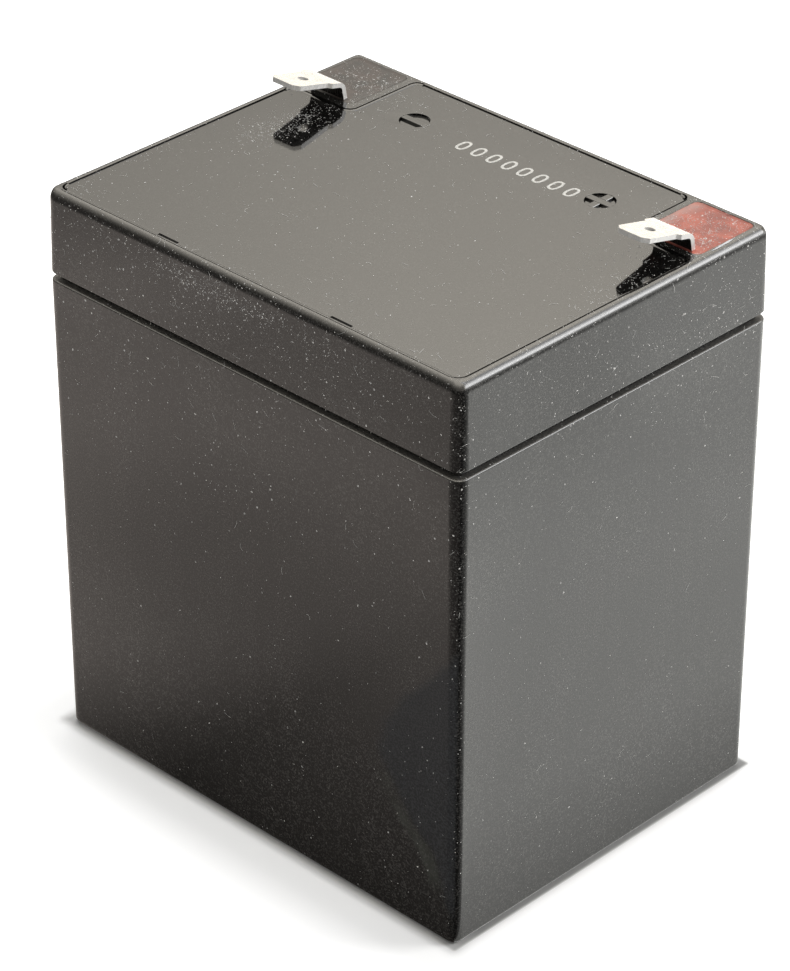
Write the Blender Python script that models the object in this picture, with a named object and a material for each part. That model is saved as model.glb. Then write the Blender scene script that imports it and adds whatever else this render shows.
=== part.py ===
"""A small sealed lead acid battery: six cells in a moulded case, with two push-on blades.

Metres, +Z up. The origin is the middle of the base, on the surface that the battery stands on.
The cells lie in a row along X. Both blades stand at the back, +Y: negative at -X, positive at +X.
"""

from math import cos, pi, radians, sin, tan

import bmesh
import bpy
from mathutils import Matrix, Vector

# Whole battery: the height is over the lid, without the blades
LENGTH = 0.090
WIDTH = 0.070
HEIGHT = 0.101
CORNER_REACH = 0.0022
CORNER_WEIGHT = 1.0

# Clearances: SEAT where pieces rest or drop in, CLOSE where they are pressed, poured or packed
SEAT = 0.0003
CLOSE = 0.0001

# Case
CASE_WALL = 0.0026
CASE_FLOOR = 0.0026
CASE_DRAFT = radians(0.23)
BASE_RADIUS = 0.0008
CELLS = 6
PARTITION = 0.0012
CELL_RADIUS = 0.0010
TONGUE = 0.0013
TONGUE_RADIUS = 0.0008

# Lid
LID_HEIGHT = 0.01488
SEAM = 0.00117
LID_DRAFT = radians(1.0)
RIM = 0.00144
RIM_ROUND_IN = 0.0011
RIM_ROUND_DOWN = 0.0020
PARTING_RADIUS = 0.0003
DECK_DEPTH = 0.0088
DECK = 0.0022
COLLAR = 0.0010

# Vent cover, let into the lid
COVER = 0.0016
COVER_SINK = 0.0002
COVER_RADIUS = 0.0015
LEDGE = 0.0013
PRY_NOTCH_LENGTH = 0.0044
PRY_NOTCH_DEPTH = 0.0005
PRY_NOTCH_X = 0.0187
MARK_DIAMETER = 0.0051
MARK_DEPTH = 0.0008
MARK_X = 0.0201
MARK_Y = 0.0228

# Valves: a moulded neck over each cell, with a rubber cap pressed down by the cover
NECK_WALL = 0.0017
CAP_WALL = 0.0011
CAP_ROOF = 0.0012
CAP_LENGTH = 0.0048
CAP_BEAD = 0.0004

# Terminal wells in the lid's back corners
WELL_LENGTH = 0.0120
WELL_WIDTH = 0.0139
WELL_RIM = 0.0016
WELL_WALL = 0.0014
WELL_DEPTH = 0.0080
WELL_RADIUS = 0.0012

# Terminals: stamped strips, bent twice. Each stands a little to +X of the middle of its well.
NEGATIVE_SHIFT = 0.0003
POSITIVE_SHIFT = 0.0007
STRIP = 0.0008
BLADE_WIDTH = 0.00635
BLADE_LENGTH = 0.01045
BLADE_CHAMFER = 0.0010
BLADE_RISE = 0.0057
BLADE_TILT = radians(14)
BLADE_SHOULDER = 0.0073
SHOULDER_SLOPE = 0.0006
BLADE_HOLE = 0.0018
BLADE_HOLE_FROM_TIP = 0.0047
ROOT_WIDTH = 0.0075
LEG_INSET = 0.00086
LEG_LEAN = radians(10)
BEND_RADIUS = 0.0012
FOOT_LENGTH = 0.0090
POST_DIAMETER = 0.0046
POST_HEAD = 0.0008

# Plates, mats and the lead that joins them. Each share is of the room for a cell's plates and
# mats, for all plates of that kind together, and the mats take up the rest.
POSITIVE_PLATES = 3
POSITIVE_SHARE = 0.42
NEGATIVE_SHARE = 0.36
PLATE_MARGIN = 0.0015
HEADROOM = 0.0022
MAT_STANDS_UP = 0.0020
LUG_WIDTH = 0.0080
LUG_LENGTH = 0.0050
STRAP_WIDTH = 0.0092
STRAP = 0.0035
WING = 0.0016
WING_HEIGHT = 0.0060
LINK_DIAMETER = 0.0040

# Facets: steps round each corner, sides of each round piece, and how faces are cut and smoothed.
# A corner of weight ARC is a circular arc, and one of more weight is sharper in its middle.
CORNER_STEPS = 6
FINE_STEPS = 4
ARC = cos(pi / 4)
ROUND_SIDES = 24
SMALL_SIDES = 16
MERGE = 0.000001
CUT_PAST = 0.0010
SMOOTH_BELOW = radians(35)

# Worked out from the sizes above: case, lid and cover
LID_BOTTOM = HEIGHT - LID_HEIGHT
CASE_HEIGHT = LID_BOTTOM - SEAM
RIM_INSET = LID_HEIGHT * tan(LID_DRAFT)
RIM_HALF_LENGTH = LENGTH / 2 - RIM_INSET
RIM_HALF_WIDTH = WIDTH / 2 - RIM_INSET
DECK_TOP = HEIGHT - DECK_DEPTH
DECK_BOTTOM = DECK_TOP - DECK
TONGUE_TOP = DECK_BOTTOM - SEAT
COVER_TOP = HEIGHT - COVER_SINK
COVER_BOTTOM = COVER_TOP - COVER

CELL_WIDTH = WIDTH - 2 * CASE_WALL
CELL_LENGTH = (LENGTH - 2 * CASE_WALL - (CELLS - 1) * PARTITION) / CELLS
CELL_PITCH = CELL_LENGTH + PARTITION
CELL_CENTRES = [(index - (CELLS - 1) / 2) * CELL_PITCH for index in range(CELLS)]

# The caps are as wide as the pocket under the cover allows over the end cells
POCKET_HALF_LENGTH = RIM_HALF_LENGTH - RIM - SEAT - LEDGE
CAP_TOP = COVER_BOTTOM - SEAT
CAP_RADIUS = POCKET_HALF_LENGTH - CELL_CENTRES[-1] - SEAT - CAP_BEAD
NECK_TOP = CAP_TOP - CAP_ROOF - CLOSE
NECK_DIAMETER = 2 * (CAP_RADIUS - CAP_WALL - CLOSE)
NECK_BORE = NECK_DIAMETER - 2 * NECK_WALL

WELL_FLOOR = COVER_TOP - WELL_DEPTH
WELL_X = RIM_HALF_LENGTH - WELL_RIM - WELL_LENGTH / 2
WELL_Y = RIM_HALF_WIDTH - WELL_RIM - WELL_WIDTH / 2
WELL_FRONT = WELL_Y - WELL_WIDTH / 2
FOOT_MIDDLE = WELL_FLOOR + CLOSE + STRIP / 2
POST_TOP = FOOT_MIDDLE + STRIP / 2 + POST_HEAD

NEGATIVE_PLATES = POSITIVE_PLATES + 1
STACK = CELL_LENGTH - 2 * (POSITIVE_PLATES + NEGATIVE_PLATES) * CLOSE
POSITIVE_PLATE = STACK * POSITIVE_SHARE / POSITIVE_PLATES
NEGATIVE_PLATE = STACK * NEGATIVE_SHARE / NEGATIVE_PLATES
MAT = STACK * (1 - POSITIVE_SHARE - NEGATIVE_SHARE) / (2 * POSITIVE_PLATES)
PLATE_PITCH = POSITIVE_PLATE + NEGATIVE_PLATE + 2 * MAT + 4 * CLOSE
MAT_WIDTH = CELL_WIDTH - 2 * SEAT
PLATE_WIDTH = MAT_WIDTH - 2 * PLATE_MARGIN
FOLD_INNER = POSITIVE_PLATE / 2 + CLOSE
FOLD_OUTER = FOLD_INNER + MAT
PLATE_FOOT = CASE_FLOOR + SEAT
FOLD_HEIGHT = PLATE_FOOT + FOLD_OUTER
STRAP_TOP = LID_BOTTOM - HEADROOM - WING_HEIGHT
STRAP_BOTTOM = STRAP_TOP - STRAP
PLATE_TOP = STRAP_BOTTOM - LUG_LENGTH
LINK_HEIGHT = STRAP_TOP + WING_HEIGHT / 2

# Axes for outlines that are drawn upright: along X in the YZ plane, and along Y in the XZ plane
ALONG_X = Matrix(((0, 0, 1, 0), (1, 0, 0, 0), (0, 1, 0, 0), (0, 0, 0, 1)))
ALONG_Y = Matrix(((1, 0, 0, 0), (0, 0, -1, 0), (0, 1, 0, 0), (0, 0, 0, 1)))


def clear_scene():
    for item in list(bpy.data.objects):
        bpy.data.objects.remove(item, do_unlink=True)


def make_material(name, colour, roughness, metallic=0.0):
    material = bpy.data.materials.new(name)
    material.use_nodes = True
    shader = material.node_tree.nodes["Principled BSDF"]
    shader.inputs["Base Color"].default_value = (*colour, 1.0)
    shader.inputs["Roughness"].default_value = roughness
    shader.inputs["Metallic"].default_value = metallic
    return material


def make_empty(name, parent=None, location=(0, 0, 0)):
    empty = bpy.data.objects.new(name, None)
    empty.parent = parent
    empty.location = location
    bpy.context.scene.collection.objects.link(empty)
    return empty


def make_object(name, solid, material, parent, location=(0, 0, 0)):
    """Turn a bmesh into a named object, smooth where its faces meet at a low angle."""
    bmesh.ops.recalc_face_normals(solid, faces=solid.faces)
    mesh = bpy.data.meshes.new(name)
    solid.to_mesh(mesh)
    solid.free()
    mesh.shade_smooth()
    mesh.set_sharp_from_angle(angle=SMOOTH_BELOW)
    if material:
        mesh.materials.append(material)
    item = bpy.data.objects.new(name, mesh)
    item.parent = parent
    item.location = location
    bpy.context.scene.collection.objects.link(item)
    return item


def make_helper(name, solid, parent, location=(0, 0, 0)):
    """An object that only cuts or extends another."""
    helper = make_object(name, solid, None, parent, location)
    helper.display_type = "WIRE"
    helper.hide_render = True
    return helper


def combine(target, helper, operation):
    modifier = target.modifiers.new(helper.name, "BOOLEAN")
    modifier.operation = operation
    modifier.solver = "EXACT"
    modifier.object = helper


def conic(start, corner, end, steps, weight=ARC):
    """Points of a curve that leaves start towards the corner and runs into end."""
    points = []
    for step in range(steps + 1):
        t = step / steps
        shares = (1 - t) ** 2, 2 * weight * t * (1 - t), t ** 2
        point = start * shares[0] + corner * shares[1] + end * shares[2]
        points.append(point / sum(shares))
    return points


def rounded(corners, reach, steps=FINE_STEPS, weight=ARC):
    """An outline with a curve in place of each square corner, outer or inner."""
    outline = []
    for index, point in enumerate(corners):
        corner = Vector(point)
        before = (Vector(corners[index - 1]) - corner).normalized()
        after = (Vector(corners[(index + 1) % len(corners)]) - corner).normalized()
        outline += conic(corner + before * reach, corner, corner + after * reach, steps, weight)
    return outline


def rectangle(half_x, half_y, x=0.0, y=0.0):
    return [
        (x - half_x, y - half_y),
        (x + half_x, y - half_y),
        (x + half_x, y + half_y),
        (x - half_x, y + half_y),
    ]


def loft(solid, layers, axes=Matrix.Identity(4)):
    """Add a closed skin through outlines that have equal point counts, each at its height."""
    rings = []
    for outline, height in layers:
        rings.append([solid.verts.new(axes @ Vector((u, v, height))) for u, v in outline])
    for low, high in zip(rings, rings[1:]):
        for index, vertex in enumerate(low):
            following = (index + 1) % len(low)
            solid.faces.new((vertex, low[following], high[following], high[index]))
    solid.faces.new(reversed(rings[0]))
    solid.faces.new(rings[-1])


def prism(solid, outline, low, high, axes=Matrix.Identity(4)):
    loft(solid, [(outline, low), (outline, high)], axes)


def frame(solid, outer, inner, low, high):
    """Add an upright wall that runs round between two outlines with equal point counts."""
    rings = []
    for outline, height in ((outer, low), (outer, high), (inner, high), (inner, low)):
        rings.append([solid.verts.new((x, y, height)) for x, y in outline])
    for ring, other in zip(rings, rings[1:] + rings[:1]):
        for index, vertex in enumerate(ring):
            following = (index + 1) % len(ring)
            solid.faces.new((vertex, ring[following], other[following], other[index]))


def cylinder(solid, diameter, start, end, sides):
    axis = Vector(end) - Vector(start)
    place = Matrix.Translation((Vector(start) + Vector(end)) / 2)
    bmesh.ops.create_cone(
        solid,
        cap_ends=True,
        segments=sides,
        radius1=diameter / 2,
        radius2=diameter / 2,
        depth=axis.length,
        matrix=place @ axis.to_track_quat("Z", "Y").to_matrix().to_4x4(),
    )


def turned(solid, profile, sides):
    """Spin a profile of (radius, height) points, with both ends on the axis, round Z."""
    points = [solid.verts.new((radius, 0, height)) for radius, height in profile]
    edges = [solid.edges.new(pair) for pair in zip(points, points[1:])]
    bmesh.ops.spin(
        solid,
        geom=points + edges,
        axis=(0, 0, 1),
        cent=(0, 0, 0),
        steps=sides,
        angle=2 * pi,
        use_merge=True,
    )
    bmesh.ops.remove_doubles(solid, verts=solid.verts, dist=MERGE)


def moulded_block(solid, parting, end, draft, round_in, round_back):
    """Add a full-size block that narrows by its draft from the parting height to a rounded end."""
    way = 1 if end > parting else -1
    depth = abs(end - parting)
    lean = depth * tan(draft)
    start, side = Vector((PARTING_RADIUS, 0)), Vector((0, PARTING_RADIUS))
    sections = conic(start, Vector((0, 0)), side, FINE_STEPS)
    side, face = Vector((lean, depth - round_back)), Vector((lean + round_in, depth))
    sections += conic(side, Vector((lean, depth)), face, CORNER_STEPS)
    layers = []
    for inset, along in sections:
        corners = rectangle(LENGTH / 2 - inset, WIDTH / 2 - inset)
        reach = CORNER_REACH - min(inset, CORNER_REACH / 2)
        layers.append((rounded(corners, reach, CORNER_STEPS, CORNER_WEIGHT), parting + way * along))
    loft(solid, layers)


def cover_outline(grow, radius):
    """The vent cover's outline, moved outwards by grow. Both back corners are cut out."""
    half_x = RIM_HALF_LENGTH - RIM - SEAT + grow
    half_y = RIM_HALF_WIDTH - RIM - SEAT + grow
    cut_x = WELL_X - WELL_LENGTH / 2 - WELL_WALL - SEAT + grow
    cut_y = WELL_FRONT - WELL_WALL - SEAT + grow
    corners = [
        (-half_x, -half_y),
        (half_x, -half_y),
        (half_x, cut_y),
        (cut_x, cut_y),
        (cut_x, half_y),
        (-cut_x, half_y),
        (-cut_x, cut_y),
        (-half_x, cut_y),
    ]
    return rounded(corners, radius)


def terminal_x(side):
    return side * WELL_X + (POSITIVE_SHIFT if side > 0 else NEGATIVE_SHIFT)


def well_outline(side, grow=0.0):
    half_x = WELL_LENGTH / 2 + grow
    half_y = WELL_WIDTH / 2 + grow
    return rounded(rectangle(half_x, half_y, side * WELL_X, WELL_Y), WELL_RADIUS + grow)


def cell_outline(x, shrink=0.0):
    half_x = CELL_LENGTH / 2 - shrink
    half_y = CELL_WIDTH / 2 - shrink
    return rounded(rectangle(half_x, half_y, x), CELL_RADIUS)


def tongue_outline(grow=0.0):
    """The outside of the tongue that stands up from the case into the lid."""
    inset = CASE_WALL - TONGUE - grow
    corners = rectangle(LENGTH / 2 - inset, WIDTH / 2 - inset)
    return rounded(corners, TONGUE_RADIUS + grow, CORNER_STEPS)


def make_case(plastic, parent):
    body = bmesh.new()
    moulded_block(body, CASE_HEIGHT, 0, CASE_DRAFT, BASE_RADIUS, BASE_RADIUS)
    case = make_object("case", body, plastic, parent)

    tongue = bmesh.new()
    prism(tongue, tongue_outline(), CASE_HEIGHT - CUT_PAST, TONGUE_TOP)
    combine(case, make_helper("case_tongue", tongue, parent), "UNION")

    cells = bmesh.new()
    for x in CELL_CENTRES:
        prism(cells, cell_outline(x), CASE_FLOOR, TONGUE_TOP + CUT_PAST)
    combine(case, make_helper("case_cells", cells, parent), "DIFFERENCE")

    holes = bmesh.new()
    for index in range(CELLS - 1):
        x, y = link_place(index)
        start = (x - PARTITION / 2 - CUT_PAST, y, LINK_HEIGHT)
        end = (x + PARTITION / 2 + CUT_PAST, y, LINK_HEIGHT)
        cylinder(holes, LINK_DIAMETER + 2 * SEAT, start, end, SMALL_SIDES)
    combine(case, make_helper("case_link_holes", holes, parent), "DIFFERENCE")


def make_lid(plastic, parent):
    body = bmesh.new()
    moulded_block(body, LID_BOTTOM, HEIGHT, LID_DRAFT, RIM_ROUND_IN, RIM_ROUND_DOWN)
    lid = make_object("lid", body, plastic, parent)

    hollow = bmesh.new()
    prism(hollow, tongue_outline(SEAT), LID_BOTTOM - CUT_PAST, DECK_BOTTOM)
    combine(lid, make_helper("lid_hollow", hollow, parent), "DIFFERENCE")

    seat = bmesh.new()
    prism(seat, cover_outline(SEAT, COVER_RADIUS), COVER_BOTTOM - SEAT, HEIGHT + CUT_PAST)
    combine(lid, make_helper("lid_cover_seat", seat, parent), "DIFFERENCE")

    pocket = bmesh.new()
    prism(pocket, cover_outline(-LEDGE, COVER_RADIUS), DECK_TOP, COVER_TOP)
    combine(lid, make_helper("lid_valve_pocket", pocket, parent), "DIFFERENCE")

    wells = bmesh.new()
    for side in (-1, 1):
        prism(wells, well_outline(side), WELL_FLOOR, HEIGHT + CUT_PAST)
    combine(lid, make_helper("lid_wells", wells, parent), "DIFFERENCE")

    collars = bmesh.new()
    for x in CELL_CENTRES:
        outer, inner = cell_outline(x, SEAT), cell_outline(x, SEAT + COLLAR)
        frame(collars, outer, inner, LID_BOTTOM, DECK_BOTTOM + DECK / 2)
    combine(lid, make_helper("lid_cell_collars", collars, parent), "UNION")

    necks = bmesh.new()
    for x in CELL_CENTRES:
        cylinder(necks, NECK_DIAMETER, (x, 0, DECK_TOP - DECK / 2), (x, 0, NECK_TOP), ROUND_SIDES)
    combine(lid, make_helper("lid_valve_necks", necks, parent), "UNION")

    bores = bmesh.new()
    for x in CELL_CENTRES:
        start, end = (x, 0, DECK_BOTTOM - CUT_PAST), (x, 0, NECK_TOP + CUT_PAST)
        cylinder(bores, NECK_BORE, start, end, ROUND_SIDES)
    for side in (-1, 1):
        start = (terminal_x(side), WELL_Y, DECK_BOTTOM - CUT_PAST)
        end = (terminal_x(side), WELL_Y, WELL_FLOOR + CUT_PAST)
        cylinder(bores, POST_DIAMETER + 2 * SEAT, start, end, ROUND_SIDES)
    combine(lid, make_helper("lid_bores", bores, parent), "DIFFERENCE")


def make_vent_cover(plastic, parent):
    plate = bmesh.new()
    prism(plate, cover_outline(0, COVER_RADIUS), COVER_BOTTOM, COVER_TOP)
    cover = make_object("vent_cover", plate, plastic, parent)

    cuts = bmesh.new()
    front = -(RIM_HALF_WIDTH - RIM - SEAT)
    low, high = COVER_BOTTOM - CUT_PAST, COVER_TOP + CUT_PAST
    for side in (-1, 1):
        notch = rectangle(PRY_NOTCH_LENGTH / 2, PRY_NOTCH_DEPTH, side * PRY_NOTCH_X, front)
        prism(cuts, notch, low, high)
        mark = (side * MARK_X, MARK_Y, COVER_TOP - MARK_DEPTH)
        cylinder(cuts, MARK_DIAMETER, mark, (side * MARK_X, MARK_Y, high), ROUND_SIDES)
    combine(cover, make_helper("cover_cuts", cuts, parent), "DIFFERENCE")


def make_valve_caps(rubber, parent):
    outer = CAP_RADIUS
    inner = outer - CAP_WALL
    roof = CAP_ROOF
    profile = [
        (0, 0),
        (inner, 0),
        (inner, roof - CAP_LENGTH),
        (outer, roof - CAP_LENGTH),
        (outer + CAP_BEAD, roof - CAP_LENGTH + CAP_BEAD),
        (outer, roof - CAP_LENGTH + 2 * CAP_BEAD),
        (outer, roof - CAP_BEAD),
        (outer - CAP_BEAD, roof),
        (0, roof),
    ]
    for index, x in enumerate(CELL_CENTRES):
        cap = bmesh.new()
        turned(cap, profile, ROUND_SIDES)
        make_object(f"valve_cap_{index + 1}", cap, rubber, parent, (x, 0, CAP_TOP - roof))


def bent_line(corners, radius, steps):
    """Points and angles along a line, with a bend of the radius at each inner corner."""
    def angle_of(start, end):
        return -Vector((1, 0)).angle_signed(end - start)

    def along(angle):
        return Vector((cos(angle), sin(angle)))

    line = [(corners[0], angle_of(corners[0], corners[1]))]
    for before, corner, after in zip(corners, corners[1:], corners[2:]):
        start = angle_of(before, corner)
        turn = angle_of(corner, after) - start
        side = 1 if turn > 0 else -1
        reach = radius * tan(abs(turn) / 2)
        centre = corner - along(start) * reach + along(start + side * pi / 2) * radius
        for step in range(steps + 1):
            angle = start + turn * step / steps
            line.append((centre - along(angle + side * pi / 2) * radius, angle))
    line.append((corners[-1], angle_of(corners[-2], corners[-1])))
    return line


def terminal_stations():
    """Points (y, z), heading and half width along the strip, from the blade's tip to its foot."""
    heading = Vector((cos(BLADE_TILT), -sin(BLADE_TILT)))
    knee_height = HEIGHT + BLADE_RISE - STRIP / 2 * cos(BLADE_TILT) - BLADE_LENGTH * sin(BLADE_TILT)
    leg_y = WELL_FRONT + LEG_INSET
    knee = Vector((leg_y - (knee_height - COVER_TOP) * tan(LEG_LEAN), knee_height))
    foot = Vector((leg_y + (COVER_TOP - FOOT_MIDDLE) * tan(LEG_LEAN), FOOT_MIDDLE))
    corners = [knee - heading * BLADE_LENGTH, knee, foot, foot + Vector((FOOT_LENGTH, 0))]
    tip = corners[0]
    stations = [(tip, -BLADE_TILT, BLADE_WIDTH / 2 - BLADE_CHAMFER)]
    blade = ((BLADE_CHAMFER, BLADE_WIDTH), (BLADE_SHOULDER, BLADE_WIDTH),
             (BLADE_SHOULDER + SHOULDER_SLOPE, ROOT_WIDTH))
    for distance, width in blade:
        stations.append((tip + heading * distance, -BLADE_TILT, width / 2))
    for point, angle in bent_line(corners, BEND_RADIUS, FINE_STEPS)[1:]:
        stations.append((point, angle, ROOT_WIDTH / 2))
    return stations


def strip(solid, x, grow=0.0):
    """Add a terminal's bent strip at x, thicker and wider on each side by grow."""
    rings = []
    for point, angle, half_width in terminal_stations():
        across = Vector((-sin(angle), cos(angle))) * (STRIP / 2 + grow)
        reach = half_width + grow
        upper, lower = point + across, point - across
        ring = ((-reach, upper), (reach, upper), (reach, lower), (-reach, lower))
        rings.append([solid.verts.new((x + shift, *place)) for shift, place in ring])
    for ring, other in zip(rings, rings[1:]):
        for index, vertex in enumerate(ring):
            following = (index + 1) % len(ring)
            solid.faces.new((vertex, ring[following], other[following], other[index]))
    solid.faces.new(rings[0])
    solid.faces.new(reversed(rings[-1]))


def make_terminal(name, side, metal, parent):
    x = terminal_x(side)
    folded = bmesh.new()
    strip(folded, x)
    terminal = make_object(f"terminal_{name}", folded, metal, parent)

    tip, angle, _ = terminal_stations()[0]
    heading = Vector((0, cos(angle), sin(angle)))
    across = Vector((0, -sin(angle), cos(angle))) * STRIP
    middle = Vector((x, *tip)) + heading * BLADE_HOLE_FROM_TIP
    holes = bmesh.new()
    cylinder(holes, BLADE_HOLE, middle - across, middle + across, ROUND_SIDES)
    low, high = (x, WELL_Y, FOOT_MIDDLE - STRIP), (x, WELL_Y, FOOT_MIDDLE + STRIP)
    cylinder(holes, POST_DIAMETER + 2 * CLOSE, low, high, ROUND_SIDES)
    combine(terminal, make_helper(f"terminal_{name}_holes", holes, parent), "DIFFERENCE")


def make_epoxy_seal(name, side, resin, parent):
    """Resin poured into a well round the strip's foot, up to the level of the cover."""
    x = terminal_x(side)
    pour = bmesh.new()
    prism(pour, well_outline(side, -CLOSE), WELL_FLOOR + CLOSE, COVER_TOP)
    seal = make_object(f"epoxy_seal_{name}", pour, resin, parent)

    passage = bmesh.new()
    strip(passage, x, CLOSE)
    combine(seal, make_helper(f"epoxy_{name}_strip_passage", passage, parent), "DIFFERENCE")

    socket = bmesh.new()
    low, high = (x, WELL_Y, WELL_FLOOR - CUT_PAST), (x, WELL_Y, POST_TOP + CLOSE)
    cylinder(socket, POST_DIAMETER + 2 * CLOSE, low, high, ROUND_SIDES)
    combine(seal, make_helper(f"epoxy_{name}_post_socket", socket, parent), "DIFFERENCE")


def make_terminal_post(name, side, lead, parent):
    x = terminal_x(side)
    post = bmesh.new()
    low, high = (x, WELL_Y, STRAP_TOP + CLOSE), (x, WELL_Y, POST_TOP)
    cylinder(post, POST_DIAMETER, low, high, ROUND_SIDES)
    make_object(f"terminal_post_{name}", post, lead, parent)


def link_place(index):
    """Where the link after this cell goes through its partition: front and back in turn."""
    x = (CELL_CENTRES[index] + CELL_CENTRES[index + 1]) / 2
    return x, -WELL_Y if index % 2 == 0 else WELL_Y


def plate_outline(back, foot):
    """A plate with its lug, as (y, z) points. The lug runs up into the strap."""
    half = PLATE_WIDTH / 2
    middle = WELL_Y if back else -WELL_Y
    lug_top = STRAP_BOTTOM + STRAP / 2
    return [
        (-half, foot),
        (half, foot),
        (half, PLATE_TOP),
        (middle + LUG_WIDTH / 2, PLATE_TOP),
        (middle + LUG_WIDTH / 2, lug_top),
        (middle - LUG_WIDTH / 2, lug_top),
        (middle - LUG_WIDTH / 2, PLATE_TOP),
        (-half, PLATE_TOP),
    ]


def strap_outline(half_stack, wing):
    """A cast strap over a stack of plates, as (x, z) points, with a wing up one end if any."""
    low, high = STRAP_BOTTOM, STRAP_TOP
    if not wing:
        return [(-half_stack, low), (half_stack, low), (half_stack, high), (-half_stack, high)]
    wall = CELL_LENGTH / 2 - SEAT
    top = high + WING_HEIGHT
    outline = [
        (-half_stack, low),
        (wall, low),
        (wall, top),
        (wall - WING, top),
        (wall - WING, high),
        (-half_stack, high),
    ]
    return outline if wing > 0 else [(-x, z) for x, z in reversed(outline)]


def make_plate_group(name, count, thickness, foot, back, wing, lead, parent):
    """Plates of one polarity, burned to the strap that joins them. The wing is at -X, +X or none."""
    half_stack = ((count - 1) * PLATE_PITCH + thickness) / 2
    middle = WELL_Y if back else -WELL_Y
    cast = bmesh.new()
    low, high = -middle - STRAP_WIDTH / 2, -middle + STRAP_WIDTH / 2
    prism(cast, strap_outline(half_stack, wing), low, high, ALONG_Y)
    group = make_object(name, cast, lead, parent)

    plates = bmesh.new()
    for index in range(count):
        x = (index - (count - 1) / 2) * PLATE_PITCH
        prism(plates, plate_outline(back, foot), x - thickness / 2, x + thickness / 2, ALONG_X)
    combine(group, make_helper(f"{name}_plates", plates, parent), "UNION")


def mat_outline():
    """A mat folded in a U under a positive plate, as (x, z) points."""
    top = PLATE_TOP + MAT_STANDS_UP
    outer, inner = [(FOLD_OUTER, top)], [(-FOLD_INNER, top)]
    steps = 2 * FINE_STEPS
    for step in range(steps + 1):
        angle = pi * step / steps
        outer.append((FOLD_OUTER * cos(angle), FOLD_HEIGHT - FOLD_OUTER * sin(angle)))
        inner.append((-FOLD_INNER * cos(angle), FOLD_HEIGHT - FOLD_INNER * sin(angle)))
    outer.append((-FOLD_OUTER, top))
    inner.append((FOLD_INNER, top))
    return outer + inner


def make_cell(index, leads, fibre, battery):
    """One cell: two plate groups and the mats between them. Every second cell faces the other way."""
    cell = make_empty(f"cell_{index + 1}", battery, (CELL_CENTRES[index], 0, 0))
    negative_at_back = index % 2 == 0
    first, last = index == 0, index == CELLS - 1
    make_plate_group(
        f"cell_{index + 1}_negative_group", NEGATIVE_PLATES, NEGATIVE_PLATE, PLATE_FOOT,
        negative_at_back, 0 if first else -1, leads["negative"], cell,
    )
    make_plate_group(
        f"cell_{index + 1}_positive_group", POSITIVE_PLATES, POSITIVE_PLATE, FOLD_HEIGHT,
        not negative_at_back, 0 if last else 1, leads["positive"], cell,
    )
    for place in range(POSITIVE_PLATES):
        mat = bmesh.new()
        prism(mat, mat_outline(), -MAT_WIDTH / 2, MAT_WIDTH / 2, ALONG_Y)
        x = (place - (POSITIVE_PLATES - 1) / 2) * PLATE_PITCH
        letter = chr(ord("a") + place)
        make_object(f"separator_{index + 1}{letter}", mat, fibre, cell, (x, 0, 0))


def make_cell_links(lead, parent):
    half = PARTITION / 2 + SEAT - CLOSE
    for index in range(CELLS - 1):
        x, y = link_place(index)
        link = bmesh.new()
        start, end = (x - half, y, LINK_HEIGHT), (x + half, y, LINK_HEIGHT)
        cylinder(link, LINK_DIAMETER, start, end, SMALL_SIDES)
        make_object(f"cell_link_{index + 1}", link, lead, parent)


def main():
    clear_scene()
    battery = make_empty("battery")
    plastic = make_material("black_abs", (0.020, 0.019, 0.018), 0.38)
    rubber = make_material("black_rubber", (0.012, 0.012, 0.012), 0.75)
    tinned = make_material("tinned_brass", (0.86, 0.85, 0.82), 0.28, 1.0)
    lead = make_material("lead", (0.22, 0.23, 0.25), 0.55, 1.0)
    fibre = make_material("glass_mat", (0.82, 0.82, 0.79), 0.95)
    resins = {
        "negative": make_material("black_epoxy", (0.045, 0.032, 0.030), 0.30),
        "positive": make_material("red_epoxy", (0.46, 0.10, 0.08), 0.30),
    }
    leads = {
        "negative": make_material("sponge_lead", (0.20, 0.21, 0.22), 0.80, 0.4),
        "positive": make_material("lead_dioxide", (0.085, 0.050, 0.038), 0.85),
    }

    make_case(plastic, battery)
    make_lid(plastic, battery)
    make_vent_cover(plastic, battery)
    make_valve_caps(rubber, battery)
    for name, side in (("negative", -1), ("positive", 1)):
        make_terminal(name, side, tinned, battery)
        make_epoxy_seal(name, side, resins[name], battery)
        make_terminal_post(name, side, lead, battery)
    for index in range(CELLS):
        make_cell(index, leads, fibre, battery)
    make_cell_links(lead, battery)


main()
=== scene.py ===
"""Looks for a small sealed lead acid battery: dusty satin black plastic in a white studio."""

import random
from math import cos, exp, pi, radians, sin, tau

import bpy
from mathutils import Matrix, Vector


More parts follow.
